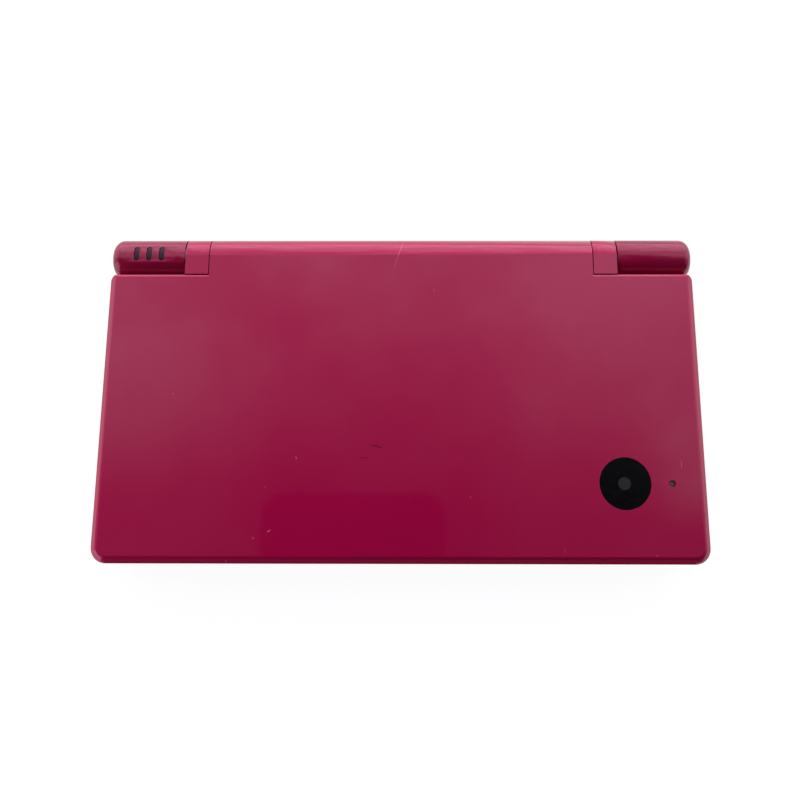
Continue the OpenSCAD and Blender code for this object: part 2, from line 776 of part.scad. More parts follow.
module battery_bay_walls() {
  block(battery_x - bay_x - bay_wall, battery_x + bay_x + bay_wall, bay_y0 - tiny, bay_y1 + bay_wall,
    floor_z - tiny, bay_top + 0.6);
}

module battery_bay_space() {
  block(battery_x - bay_x, battery_x + bay_x, bay_y0, bay_y1, foot_h - past, bay_top);
  rounded_block(battery_x - cover_x - seam, battery_x + cover_x + seam, bay_y0, bay_y1,
    foot_h - past, cover_z + cover_gap, 1.5);
}

module base_lower_shell() {
  color([0.55, 0.1, 0.26]) difference() {
    union() {
      difference() {
        base_outline_lower();
        rounded_block(-base_x + wall, base_x - wall, base_front + wall, base_rear - wall,
          floor_z, case_split + past, base_corner_r - wall);
      }
      battery_bay_walls();
      block(silo_x0 - silo_wall, base_x - wall, base_front + wall - tiny, stylus_y + silo_r + silo_wall,
        floor_z - tiny, case_split);
      case_screw_places() translate([0, 0, floor_z - tiny]) cylinder(r = 2.6, h = board_z - floor_z - 0.05);
      for (s = sides) translate([battery_x + s * cover_screw_x, bay_y, floor_z - tiny])
        cylinder(r = 2.2, h = 3.4);
      both_sides() block(shoulder_x0 - 1.4, base_x - wall, rib_y - 1, rib_y, floor_z - tiny, case_split);
    }
    translate([0, stylus_y, stylus_z]) rod_x(silo_x0, base_x + past, silo_r);
    battery_bay_space();
    for (s = sides) translate([battery_x + s * cover_screw_x, bay_y, foot_h])
      cylinder(r = screw_r + screw_fit, h = 5);
    case_screw_places() {
      cylinder(r = screw_r + 0.15, h = body_h);
      cylinder(r = screw_head_r + 0.2, h = foot_h + 2);
    }
    for (p = foot_at) translate([p.x, p.y, 0]) cylinder(r = foot_r + 0.05, h = foot_h + 0.5);
    both_sides() shoulder_space(shoulder_gap, shoulder_swing);
    block(card_x - card_w / 2, card_x + card_w / 2, base_rear - 2 * wall, base_rear + past,
      card_z0, card_z1);
    block(base_x - 2 * wall, base_x + past, memory_y - memory_door_len / 2 - seam,
      memory_y + memory_door_len / 2 + seam, memory_door_z0 - seam, case_split + past);
    translate([memory_pin_x, memory_pin_y, floor_z]) cylinder(r = memory_pin_r + screw_fit, h = 2);
    translate([headphone_x, 0, headphone_z])
      rod_y(base_front - past, base_front + wall + 0.36, headphone_nose_r + 0.1);
    block(charging_x - charging_w / 2 - 0.2, charging_x + charging_w / 2 + 0.2, base_rear - 2 * wall,
      base_rear + past, charging_z - charging_h / 2 - 0.15, charging_z + charging_h / 2 + 0.15);
    for (s = sides) block(strap_x + s * (strap_bar + strap_hole_w) / 2 - strap_hole_w / 2,
      strap_x + s * (strap_bar + strap_hole_w) / 2 + strap_hole_w / 2, base_rear - 2.6, base_rear + past,
      floor_z + 0.6, floor_z + 2.8);
    both_sides() translate([shoulder_pin_x, shoulder_pin_y, floor_z - 0.5])
      cylinder(r = shoulder_pin_r + screw_fit, h = 3);
  }
}

module battery_cover() {
  half_y = (bay_y1 - bay_y0) / 2 - seam;
  color([0.55, 0.1, 0.26]) translate([battery_x, bay_y, 0]) difference() {
    rounded_block(-cover_x, cover_x, -half_y, half_y, foot_h, cover_z, 1.4);
    for (s = sides) translate([s * cover_screw_x, 0, 0]) {
      cylinder(r = screw_r + 0.15, h = floor_z);
      cylinder(r = screw_head_r + 0.1, h = foot_h + cover_head_h + 0.05);
    }
    for (i = [-2 : 2]) translate([i * 4, 4.5 - half_y, foot_h]) cube([2, 0.8, 0.5], center = true);
  }
}

module battery_cover_screws() {
  color([0.6, 0.6, 0.62]) for (s = sides) translate([battery_x + s * cover_screw_x, bay_y, foot_h + 0.02])
    screw(4.2, screw_head_r, cover_head_h);
}

module battery_pack() {
  contact = [1.2, 1.8, 1.6];
  color([0.85, 0.85, 0.83]) translate([battery_x, bay_y, cover_z + cover_gap]) difference() {
    rounded_block(-battery_w / 2, battery_w / 2, -battery_d / 2, battery_d / 2, 0, battery_h, 1);
    for (i = [-1 : 1]) translate([-battery_w / 2 - past, i * 3 - contact.y / 2, 1.2])
      cube([contact.x + past, contact.y, contact.z]);
  }
}

// ---------- Electronics in the base ----------

module main_board() {
  x = base_x - 3.6;
  y0 = bay_y0 + 0.3;
  y1 = rib_y - 1.2;
  color([0.1, 0.32, 0.18]) difference() {
    rounded_block(-x, x, y0, y1, board_z, board_top, 1.5);
    case_screw_places() cylinder(r = 1.0, h = body_h);
    rounded_block(-9, 9, screen_y - 30, y0 + 3, 0, body_h, 1);
  }
}

// Sheet metal cans and chips on the board's two faces
module board_shields() {
  color([0.72, 0.72, 0.74]) {
    rounded_block(-62, -46, -22, -7, board_z - 1.6, board_z, 0.6);
    rounded_block(-44, -29, -24, -10, board_z - 1.4, board_z, 0.6);
    rounded_block(-62, -48, -20, -8, board_top, board_top + 1.2, 0.6);
    rounded_block(47.5, 59, -27, -19, board_top, board_top + 1.2, 0.6);
  }
}

module lower_lcd_panel() {
  lcd_panel(plate_z - touch_t - 2 * panel_gap - lcd_t);
}

module lower_lcd_frame() {
  lcd_frame(plate_z - touch_t - 2 * panel_gap - lcd_t, -1);
}

module touch_panel() {
  color([0.05, 0.05, 0.06]) translate([0, screen_y, plate_z - touch_t - panel_gap])
    rounded_block(-screen_w / 2 - lcd_margin, screen_w / 2 + lcd_margin, -screen_d / 2 - lcd_margin,
      screen_d / 2 + lcd_margin, 0, touch_t, 1);
}

// Silicone dome under a button whose underside is at z and travels by press
module dome(r, z) {
  top = z - press - dome_gap;
  translate([0, 0, board_top + membrane_t - tiny])
    cylinder(r1 = r, r2 = r * 0.6, h = top - board_top - membrane_t);
}

module d_pad_membrane() {
  color([0.8, 0.8, 0.78]) translate([-cluster_x, pad_y, 0]) difference() {
    union() {
      translate([0, 0, board_top]) cylinder(r = pad_flange_r, h = membrane_t);
      translate([0, 0, board_top]) cylinder(r = pad_ball_r + 0.3, h = pad_ball_z - 0.4 - board_top);
      for (a = [0 : 90 : 270]) rotate([0, 0, a]) translate([pad_span / 3, 0, 0]) dome(2.2, button_z - 0.2);
    }
    translate([0, 0, pad_ball_z]) sphere(pad_ball_r + 0.1);
  }
}

module face_button_membrane() {
  color([0.8, 0.8, 0.78]) translate([cluster_x, face_y, 0]) {
    rounded_block(-11.6, 11.6, -11.6, 11.6, board_top, board_top + membrane_t, 4);
    for (p = face_at) translate([p.x, p.y, 0]) dome(3, button_z);
  }
}

module menu_button_membranes() {
  color([0.8, 0.8, 0.78]) {
    translate([menu_x, (start_y + select_y) / 2, 0])
      rounded_block(-3, 3, -7, 7, board_top, board_top + membrane_t, 1.5);
    for (y = [start_y, select_y]) translate([menu_x, y, 0]) dome(1.8, button_z);
    translate([-menu_x, power_y, 0]) {
      rounded_block(-3, 3, -3, 3, board_top, board_top + membrane_t, 1.5);
      dome(1.8, button_z);
    }
  }
}

// Folded steel cage that guides the game card and carries its contacts
module card_slot_cage() {
  x = card_w / 2;
  y1 = base_rear - wall - 0.1;
  y0 = base_rear - card_d;
  color([0.74, 0.75, 0.77]) translate([card_x, 0, 0]) {
    block(-x - cage_t, x + cage_t, y0, y1, card_z1, card_z1 + cage_t - 0.02);
    for (s = sides) block(s * (x + cage_t / 2) - cage_t / 2, s * (x + cage_t / 2) + cage_t / 2,
      y0, y1, floor_z + 0.02, card_z1 + tiny);
    block(-x - cage_t, x + cage_t, y0 - 1.5, y0, floor_z + 0.02, card_z1 + cage_t - 0.02);
    for (i = [-4 : 4])
      block(i * 3.2 - 0.5, i * 3.2 + 0.5, y0 - tiny, y0 + 1.5, card_z1 - 0.3, card_z1 + tiny);
  }
}

module memory_slot_cage() {
  x1 = base_x - 2 * memory_door_t - 0.3;
  x0 = x1 - memory_d;
  y = memory_w / 2;
  color([0.74, 0.75, 0.77]) translate([0, memory_y, 0]) {
    difference() {
      block(x0, x1, -y - cage_t, y + cage_t, memory_z0 - cage_t, board_z - 0.02);
      block(x0 + 1, x1 + past, -y, y, memory_z0, memory_z1);
    }
  }
}

module headphone_socket() {
  y0 = base_front + wall + 0.35;
  color([0.08, 0.08, 0.09]) translate([headphone_x, 0, 0]) difference() {
    union() {
      block(-headphone_w / 2, headphone_w / 2, y0, base_front + headphone_d + 1.2,
        headphone_z - headphone_h / 2, headphone_z + headphone_h / 2);
      translate([0, 0, headphone_z]) intersection() {
        rod_y(base_front + 0.05, y0 + tiny, headphone_nose_r);
        block(-headphone_w, headphone_w, base_front, y0 + tiny, -headphone_h, headphone_h / 2);
      }
    }
    translate([0, 0, headphone_z]) rod_y(base_front - past, base_front + headphone_d, headphone_r);
  }
}

module charging_socket() {
  y1 = base_rear - 0.6;
  color([0.1, 0.1, 0.11]) translate([charging_x, 0, charging_z]) {
    difference() {
      block(-charging_w / 2, charging_w / 2, y1 - charging_d, y1, -charging_h / 2, charging_h / 2);
      block(-charging_w / 2 + 0.6, charging_w / 2 - 0.6, y1 - charging_d + 1.5, y1 + past,
        -charging_h / 2 + 0.5, charging_h / 2 - 0.5);
    }
    block(-charging_w / 2 + 1.8, charging_w / 2 - 1.8, y1 - charging_d + 1.4, y1 - 1.2, -0.45, 0.45);
  }
}

// Spring-loaded click cartridge in the right barrel
module hinge_unit() {
  x1 = barrel_bore_x1 - 1.4;
  color([0.62, 0.63, 0.65]) on_hinge() difference() {
    rod_x(barrel_x0 + 0.6, x1, barrel_bore_r - 0.03);
    rod_x(barrel_x0, barrel_x0 + 4.4, shaft_r + running_gap);
  }
}

// Metal bush in the left barrel: the lid's knuckle turns on it and the ribbon passes through it
module hinge_sleeve() {
  color([0.72, 0.73, 0.75]) on_hinge() difference() {
    rod_x(-barrel_x0 - 2.8, -knuckle_x0 - 1.2, sleeve_r);
    rod_x(-base_x, -knuckle_x0 + past, sleeve_r - 0.7);
  }
}

// Three light windows on one curved carrier inside the left barrel
module indicator_light_guide() {
  inner_r = 2.75;
  color([0.25, 0.22, 0.23]) difference() {
    intersection() {
      union() {
        on_hinge()
          rod_x(-barrel_x1 + light_slot_x[0] - 1.8, -barrel_x1 + light_slot_x[2] + 1.8,
            barrel_bore_r - 0.03);
        intersection() {
          on_hinge() rod_x(-barrel_x1 + 1, -barrel_x0, barrel_r - 0.12);
          light_slots(light_slot_w - 0.1, light_slot_len - 0.1);
        }
      }
      on_hinge() translate([-barrel_x1, 0, 0]) rotate([90, 0, 90]) linear_extrude(barrel_len)
        polygon([[0, 0], for (a = [-24, 0, 36]) 2 * barrel_r * [sin(a), cos(a)]]);
    }
    on_hinge() rod_x(-half_w, 0, inner_r);
  }
}

// Switches behind the volume buttons and the shoulder buttons
module tact_switches() {
  color([0.75, 0.75, 0.73]) {
    for (y = volume_at) {
      block(-base_x + 3.7, -base_x + 5.6, y - 2, y + 2, board_top, volume_z + volume_h / 2);
      translate([0, y, volume_z]) rod_x(-base_x + 2.7, -base_x + 3.8, 0.8);
    }
    both_sides() {
      block(base_x - 9.5, base_x - 5.5, rib_y - 3.4, rib_y - 1.4, board_top, shoulder_z1);
      translate([base_x - 7.5, 0, shoulder_z1 - 0.6])
        rod_y(rib_y - 1.5, rib_y + shoulder_swing - 0.35, 0.5);
    }
  }
}

module case_screws() {
  color([0.6, 0.6, 0.62]) case_screw_places() translate([0, 0, foot_h + 1])
    screw(plate_z - foot_h - 1.2, screw_head_r, screw_head_h);
}

module rubber_feet() {
  color([0.3, 0.08, 0.16]) for (p = foot_at) translate([p.x, p.y, foot_h + 0.45])
    mirror([0, 0, 1]) rotate_extrude() post2d(foot_r, foot_h + 0.45, 0.35);
}

module shoulder_pins() {
  color([0.72, 0.73, 0.75]) both_sides() translate([shoulder_pin_x, shoulder_pin_y, floor_z - 0.45])
    cylinder(r = shoulder_pin_r, h = shoulder_z1 + 0.7 - floor_z + 0.45);
}

// Coil of a torsion spring, swept round the pin
function coil_ring(i, steps, n) =
  let (turn = i / steps, a = 360 * turn)
  [for (k = [0 : n - 1]) let (b = 360 * k / n, r = spring_r + spring_wire_r * cos(b))
    [r * cos(a), r * sin(a), turn * spring_wire_r * 2.6 + spring_wire_r * sin(b)]];

module coil() {
  n = 6;
  steps = 12;
  rings = spring_turns * steps;
  points = [for (i = [0 : rings]) each coil_ring(i, steps, n)];
  walls = [for (i = [0 : rings - 1], k = [0 : n - 1]) let (k2 = (k + 1) % n, p = i * n, q = p + n)
    each [[p + k, q + k, q + k2], [p + k, q + k2, p + k2]]];
  start_cap = [for (k = [1 : n - 2]) [0, k, k + 1]];
  end_cap = [for (k = [1 : n - 2]) [rings * n, rings * n + k + 1, rings * n + k]];
  polyhedron(points, concat(walls, start_cap, end_cap));
}

module shoulder_springs() {
  color([0.72, 0.73, 0.75]) both_sides()
    translate([shoulder_pin_x, shoulder_pin_y, spring_z - spring_turns * spring_wire_r * 1.3]) coil();
}

module memory_cover_pin() {
  color([0.72, 0.73, 0.75]) translate([memory_pin_x, memory_pin_y, floor_z + 0.02])
    cylinder(r = memory_pin_r, h = case_split - floor_z - 0.3);
}

// Tail of the display ribbon, from the left barrel down to the board
module board_flex() {
  color([0.75, 0.45, 0.15])
    block(-barrel_x1 + ribbon_x[0], -barrel_x1 + ribbon_x[1], hinge_y - 2.2, hinge_y - 2.05,
      board_top, hinge_z - 1.6);
}

// ---------- Moving controls ----------

module d_pad_pivot() {
  color([0.8, 0.8, 0.78]) translate([-cluster_x, pad_y, pad_ball_z]) sphere(pad_ball_r);
}

module d_pad() {
  top = base_top + cap_h;
  color([0.62, 0.12, 0.3]) translate([-cluster_x, pad_y, 0]) difference() {
    union() {
      pad_cross(pad_span, pad_arm, pad_ball_z, top);
      translate([0, 0, pad_ball_z]) cylinder(r = pad_flange_r, h = flange_t);
    }
    translate([0, 0, pad_ball_z]) sphere(pad_ball_r + 0.1);
    translate([0, 0, top + 5.6]) sphere(6);
    for (a = [0 : 90 : 270]) rotate([0, 0, a]) translate([pad_span / 2 - 3, 0, top - 0.25])
      rotate([0, 0, 90]) linear_extrude(past) polygon([[-1.2, -0.5], [1.2, -0.5], [0, -1.9]]);
  }
}

// Round button whose cap rises h above the base's top
module round_button(r, h) {
  translate([0, 0, button_z]) cylinder(r = r + 0.7, h = flange_t);
  translate([0, 0, button_z]) rotate_extrude() post2d(r, base_top + h - button_z, 0.45);
}

module face_button(i) {
  color([0.62, 0.12, 0.3]) translate([cluster_x + face_at[i].x, face_y + face_at[i].y, 0])
    round_button(face_r, cap_h);
}

module button_a() {
  face_button(0);
}

module button_b() {
  face_button(1);
}

module button_x() {
  face_button(2);
}

module button_y() {
  face_button(3);
}

module menu_button(x, y) {
  color([0.62, 0.12, 0.3]) translate([x, y, 0]) round_button(menu_r, menu_cap_h);
}

module button_start() {
  menu_button(menu_x, start_y);
}

module button_select() {
  menu_button(menu_x, select_y);
}

module button_power() {
  menu_button(-menu_x, power_y);
}

module shoulder() {
  pocket_h = 2 * spring_turns * spring_wire_r * 1.3 + 1.2;
  difference() {
    intersection() {
      rounded_block(-base_x, base_x, base_front, base_rear, shoulder_z0, shoulder_z1, base_corner_r);
      shoulder_space(0, 0);
    }
    block(shoulder_x0 + 5, base_x - 1.4, base_rear - shoulder_d - past, base_rear - 1.6,
      shoulder_z0 + 1, shoulder_z1 - 1);
    translate([shoulder_pin_x, shoulder_pin_y, 0]) {
      cylinder(r = shoulder_pin_r + running_gap, h = body_h);
      translate([0, 0, spring_z - pocket_h / 2]) cylinder(r = spring_r + spring_wire_r + 0.2, h = pocket_h);
    }
  }
}

module shoulder_right() {
  color([0.6, 0.11, 0.29]) shoulder();
}

module shoulder_left() {
  color([0.6, 0.11, 0.29]) mirror([1, 0, 0]) shoulder();
}

module volume_button(y) {
  color([0.62, 0.12, 0.3]) translate([0, y, volume_z]) {
    pill_x(volume_len, volume_h, -half_w, -base_x + wall + 0.6);
    pill_x(volume_len + 1, volume_h + 0.5, -base_x + wall + 0.3, -base_x + wall + 0.9);
  }
}

module volume_up() {
  volume_button(volume_at[1]);
}

module volume_down() {
  volume_button(volume_at[0]);
}

module stylus() {
  tip = 6;
  tip_r = 0.8;
  end_r = 0.8;
  color([0.62, 0.12, 0.3]) translate([base_x - stylus_len, stylus_y, stylus_z]) rotate([0, 90, 0])
  difference() {
    union() {
      translate([0, 0, tip]) rotate_extrude() post2d(stylus_r, stylus_len - tip, end_r);
      translate([0, 0, tip_r]) cylinder(r1 = tip_r, r2 = stylus_r, h = tip - tip_r + tiny);
      translate([0, 0, tip_r]) sphere(tip_r);
    }
    for (i = [0 : 2]) translate([0, 0, stylus_len - 4 - 1.2 * i]) rotate_extrude()
      translate([stylus_r + 0.15, 0]) circle(0.4);
  }
}

module memory_cover() {
  y0 = memory_y - memory_door_len / 2;
  z1 = case_split - 0.1;
  color([0.56, 0.1, 0.27]) difference() {
    union() {
      block(base_x - memory_door_t, base_x, y0, memory_pin_y, memory_door_z0, z1);
      translate([memory_pin_x, memory_pin_y, memory_door_z0])
        cylinder(r = memory_door_t, h = z1 - memory_door_z0);
    }
    translate([memory_pin_x, memory_pin_y, 0]) cylinder(r = memory_pin_r + running_gap, h = body_h);
    block(base_x - 0.4, base_x + past, y0 + 1.2, y0 + 1.9, memory_door_z0 + 0.6, z1 - 0.6);
  }
}

lid_outer_shell();
lid_inner_shell();
camera_window();
camera_module();
camera_light_pipe();
upper_screen_lens();
upper_lcd_panel();
upper_lcd_frame();
speaker_left();
speaker_right();
inner_camera_window();
inner_camera_module();
microphone();
lid_screws();
lid_bumpers();
display_flex();
hinge_shaft();
base_upper_shell();
base_lower_shell();
battery_cover();
battery_cover_screws();
battery_pack();
main_board();
board_shields();
lower_lcd_panel();
lower_lcd_frame();
touch_panel();
d_pad_membrane();
face_button_membrane();
menu_button_membranes();
card_slot_cage();
memory_slot_cage();
headphone_socket();
charging_socket();
hinge_unit();
hinge_sleeve();
indicator_light_guide();
tact_switches();
case_screws();
rubber_feet();
shoulder_pins();
shoulder_springs();
memory_cover_pin();
board_flex();
d_pad_pivot();
d_pad();
button_a();
button_b();
button_x();
button_y();
button_start();
button_select();
button_power();
shoulder_left();
shoulder_right();
volume_up();
volume_down();
stylus();
memory_cover();
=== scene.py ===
"""Looks for a closed clamshell handheld console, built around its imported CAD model.

Lengths are metres in the CAD frame: X to the right, Y to the hinge at the rear, Z up.
Sizes named in millimetres are multiplied by MM where they are used.
"""

import math

import bmesh
import bpy
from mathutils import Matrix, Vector


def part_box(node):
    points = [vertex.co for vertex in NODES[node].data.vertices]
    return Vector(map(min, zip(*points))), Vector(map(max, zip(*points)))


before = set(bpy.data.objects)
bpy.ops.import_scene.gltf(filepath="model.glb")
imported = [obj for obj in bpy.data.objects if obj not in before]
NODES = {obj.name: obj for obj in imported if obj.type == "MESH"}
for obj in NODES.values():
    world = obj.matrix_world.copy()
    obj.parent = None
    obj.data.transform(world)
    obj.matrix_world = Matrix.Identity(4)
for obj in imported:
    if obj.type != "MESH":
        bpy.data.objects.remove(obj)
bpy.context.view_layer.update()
MM = 0.001
WHITE = (1.0, 1.0, 1.0)

scene = bpy.context.scene
scene.view_settings.view_transform = "Standard"


# ---------------------------------------------------------------- node graphs


class Graph:
    """A small builder for one node tree."""

    NUMBER_RESULTS = ("DOT_PRODUCT", "DISTANCE", "LENGTH")

    def __init__(self, tree):
        self.tree = tree
        tree.nodes.clear()

    def node(self, kind, inputs=(), **settings):
        """Adds a node, with its settings and with sockets or plain values on its inputs."""
        made = self.tree.nodes.new(kind)
        for key, value in settings.items():
            setattr(made, key, value)
        for key, value in dict(inputs).items():
            self.feed(made.inputs[key], value)
        return made

    def feed(self, socket, value):
        """Links a socket to an input, or sets a plain value on it."""
        if isinstance(value, bpy.types.NodeSocket):
            self.tree.links.new(value, socket)
        elif hasattr(socket.default_value, "__len__") and not hasattr(value, "__len__"):
            socket.default_value = [value] * len(socket.default_value)
        elif hasattr(value, "__len__") and len(value) == 3 and len(socket.default_value) == 4:
            socket.default_value = (*value, 1.0)
        else:
            socket.default_value = value

    def math(self, operation, a, b=0.0, c=0.0, clamp=False):
        made = self.node("ShaderNodeMath", {0: a, 1: b, 2: c}, operation=operation, use_clamp=clamp)
        return made.outputs[0]

    def vector(self, operation, a, b=(0.0, 0.0, 0.0)):
        made = self.node("ShaderNodeVectorMath", {0: a, 1: b}, operation=operation)
        return made.outputs["Value" if operation in self.NUMBER_RESULTS else "Vector"]

    def smooth(self, value, low, high, out_low=0.0, out_high=1.0):
        """Goes smoothly from out_low to out_high while the value goes from low to high."""
        ends = {"From Min": low, "From Max": high, "To Min": out_low, "To Max": out_high}
        made = self.node("ShaderNodeMapRange", {"Value": value, **ends}, interpolation_type="SMOOTHSTEP")
        return made.outputs["Result"]

    def mix(self, factor, a, b):
        made = self.node("ShaderNodeMix", data_type="RGBA")
        self.feed(made.inputs["Factor"], factor)
        colours = [socket for socket in made.inputs if socket.type == "RGBA"]
        self.feed(colours[0], a)
        self.feed(colours[1], b)
        return next(socket for socket in made.outputs if socket.type == "RGBA")

    def place(self):
        return self.node("ShaderNodeTexCoord").outputs["Object"]

    def axes(self, vector):
        return self.node("ShaderNodeSeparateXYZ", {0: vector}).outputs

    def flat(self, x, y):
        """The vector x, y, 0."""
        return self.node("ShaderNodeCombineXYZ", {0: x, 1: y}).outputs[0]

    def away(self, value, middle):
        """How far a value lies from the middle, to either side."""
        return self.math("ABSOLUTE", self.math("SUBTRACT", value, middle))

    def noise(self, vector, scale, detail=3.0, roughness=0.5):
        inputs = {"Vector": vector, "Scale": scale, "Detail": detail, "Roughness": roughness}
        return self.node("ShaderNodeTexNoise", inputs).outputs["Fac"]

    def stretched(self, vector, scale):
        return self.node("ShaderNodeMapping", {"Vector": vector, "Scale": scale}).outputs[0]

    def bump(self, height, distance, strength=1.0, normal=None):
        made = self.node("ShaderNodeBump", {"Height": height, "Distance": distance, "Strength": strength})
        if normal is not None:
            self.feed(made.inputs["Normal"], normal)
        return made.outputs[0]

    def tone(self, fine, fine_share, broad, broad_share):
        """How far a colour goes to its second tone, from a fine grain and a broad cloud."""
        broad_part = self.math("MULTIPLY", broad, broad_share)
        return self.math("MULTIPLY_ADD", fine, fine_share, broad_part, clamp=True)


def new_material(name):
    material = bpy.data.materials.new(name)
    material.use_nodes = True
    return material, Graph(material.node_tree)


def principled(g, **inputs):
    """Ends a material in one Principled shader."""
    named = {key.replace("_", " "): value for key, value in inputs.items()}
    shader = g.node("ShaderNodeBsdfPrincipled", named).outputs[0]
    g.node("ShaderNodeOutputMaterial", {"Surface": shader})


# ------------------------------------------------------------ marks on the lid

PALE_MARK = (0.92, 0.30, 0.40)
DARK_MARK = (0.11, 0.0005, 0.011)
MARK_CORE = 0.35        # the share of a mark's half width that has its full strength

# Scratches and specks on the lid's top, in millimetres: start x y, end x y, half width, strength
PALE_MARKS = [
    (0.4, 35.6, -0.6, 32.6, 0.15, 0.30),
    (-0.6, 32.6, -1.2, 30.8, 0.14, 0.20),
    (-1.2, 30.8, -1.6, 29.6, 0.13, 0.10),
    (-28.7, -30.3, -29.2, -30.6, 0.17, 0.55),
    (-32.2, -31.8, -32.5, -32.1, 0.13, 0.42),
    (-23.4, -14.3, -23.3, -14.7, 0.15, 0.42),
    (-52.0, 0.0, -51.9, -0.2, 0.14, 0.30),
    (-30.0, -20.8, -30.3, -21.1, 0.14, 0.14),
    (-38.3, -36.7, -38.2, -36.9, 0.14, 0.40),
    (15.6, -23.0, 15.8, -23.1, 0.13, 0.36),
    (7.8, 24.3, 7.9, 24.1, 0.20, 0.18),
    (56.3, -35.5, 56.4, -35.6, 0.15, 0.30),
    (63.0, -15.1, 62.9, -16.6, 0.13, 0.26),
    (36.3, -33.7, 36.3, -35.0, 0.10, 0.14),
]
DARK_MARKS = [
    (-6.6, -11.8, -5.5, -11.8, 0.15, 0.90),
    (-5.5, -11.8, -4.2, -12.3, 0.17, 0.95),
    (-9.0, -14.4, -7.3, -14.5, 0.14, 0.70),
    (5.4, 34.4, 5.6, 34.4, 0.20, 0.55),
    (27.5, 34.4, 27.6, 34.4, 0.18, 0.35),
    (34.6, 34.5, 34.7, 34.5, 0.18, 0.35),
    (37.4, 34.4, 37.5, 34.4, 0.18, 0.35),
    (41.9, 34.3, 41.9, 34.6, 0.20, 0.55),
]


def marks_mask(g, place, marks):
    """Joins the marks, each drawn by its distance from a short line seen from above."""
    x, y, _ = g.axes(place)
    flat = g.flat(x, y)
    total = 0.0
    for x0, y0, x1, y1, half, strength in marks:
        start = Vector((x0, y0, 0.0)) * MM
        run = Vector((x1 - x0, y1 - y0, 0.0)) * MM
        offset = g.vector("SUBTRACT", flat, start)
        share = g.vector("DOT_PRODUCT", offset, run / run.length_squared)
        along = g.math("MULTIPLY", share, 1.0, clamp=True)
        nearest = g.node("ShaderNodeVectorMath", {0: run, "Scale": along}, operation="SCALE").outputs[0]
        distance = g.vector("DISTANCE", offset, nearest)
        mark = g.smooth(distance, MARK_CORE * half * MM, half * MM, strength, 0.0)
        total = g.math("MAXIMUM", total, mark)
    return total


# ------------------------------------------------------------------- finishes

MAGENTA = (0.492, 0.0022, 0.064)
MAGENTA_DEEP = (0.436, 0.0015, 0.055)
BASE_MAGENTA = (0.41, 0.0018, 0.054)
BASE_MAGENTA_DEEP = (0.35, 0.0012, 0.045)
SATIN_MAGENTA = (0.300, 0.0050, 0.052)
SATIN_DEEP = (0.245, 0.0035, 0.041)
DULL = {"roughness": 0.72, "gloss": 0.10}       # the base's lacquer is duller than the lid's

# The faces that the closed console hides lie within these planes, in millimetres
INSIDE_X = 67.3
INSIDE_FRONT = -36.5
INSIDE_REAR = 27.3
INSIDE_TOP = 13.5
INSIDE_EDGE = 0.1       # how softly the finish changes there

PICTURE_W = 66.0 * MM
PICTURE_D = 49.5 * MM
PICTURE_EDGE = 0.06 * MM
DOT_EDGE = 0.1          # half the soft rim of a window's dot, in millimetres


def lacquer(g, base, deep, roughness=0.60, gloss=0.03, pale_marks=(), dark_marks=()):
    """Metallic lacquer: a flake layer under a clear coat, with fine rub marks."""
    place = g.place()
    cloud = g.noise(place, 18.0, 2.0, 0.4)
    flake = g.node("ShaderNodeTexVoronoi", {"Vector": place, "Scale": 8200.0}).outputs["Color"]
    glint = g.node("ShaderNodeSeparateColor", {0: flake}).outputs[0]
    colour = g.mix(g.tone(glint, 0.3, cloud, 0.8), base, deep)
    if pale_marks:
        colour = g.mix(marks_mask(g, place, pale_marks), colour, PALE_MARK)
    if dark_marks:
        colour = g.mix(marks_mask(g, place, dark_marks), colour, DARK_MARK)
    rubs = g.smooth(g.noise(g.stretched(place, (260.0, 24.0, 60.0)), 9.0, 4.0, 0.6), 0.58, 0.80)
    rough = g.math("MULTIPLY_ADD", rubs, 0.05, g.math("MULTIPLY_ADD", cloud, 0.06, roughness - 0.03))
    wave = g.bump(g.noise(place, 120.0, 2.0, 0.5), 0.02 * MM, 0.10)
    grain = g.bump(glint, 0.005 * MM, 0.2, wave)
    return g.node("ShaderNodeBsdfPrincipled", {
        "Base Color": colour, "Metallic": 0.95, "Roughness": rough, "IOR": 1.5, "Normal": grain,
        "Coat Weight": 1.0, "Coat Roughness": gloss, "Coat IOR": 1.5, "Coat Normal": wave}).outputs[0]


def satin(g, base, deep, roughness=0.42):
    """Moulded metallic plastic without a clear coat, with a fine spark-eroded grain."""
    place = g.place()
    cloud = g.noise(place, 30.0, 3.0, 0.5)
    grain = g.noise(place, 5200.0, 2.0, 0.6)
    colour = g.mix(g.tone(grain, 0.3, cloud, 0.7), base, deep)
    rough = g.math("MULTIPLY_ADD", grain, 0.12, roughness - 0.06)
    return g.node("ShaderNodeBsdfPrincipled", {
        "Base Color": colour, "Metallic": 0.55, "Roughness": rough, "IOR": 1.5,
        "Normal": g.bump(grain, 0.012 * MM, 0.35)}).outputs[0]


def inside_mask(g):
    """1 on the faces that the closed console hides, between the lid's rim and the base's rim."""
    x, y, z = g.axes(g.place())
    across = g.smooth(g.math("ABSOLUTE", x), INSIDE_X * MM, (INSIDE_X + INSIDE_EDGE) * MM, 1.0, 0.0)
    front = g.smooth(y, INSIDE_FRONT * MM, (INSIDE_FRONT + INSIDE_EDGE) * MM)
    rear = g.smooth(y, INSIDE_REAR * MM, (INSIDE_REAR + INSIDE_EDGE) * MM, 1.0, 0.0)
    below = g.smooth(z, INSIDE_TOP * MM, (INSIDE_TOP + INSIDE_EDGE) * MM, 1.0, 0.0)
    return g.math("MULTIPLY", g.math("MULTIPLY", across, front), g.math("MULTIPLY", rear, below))


def one_finish(name, finish, *colours, **settings):
    """The same finish on every face."""
    material, g = new_material(name)
    g.node("ShaderNodeOutputMaterial", {"Surface": finish(g, *colours, **settings)})
    return material


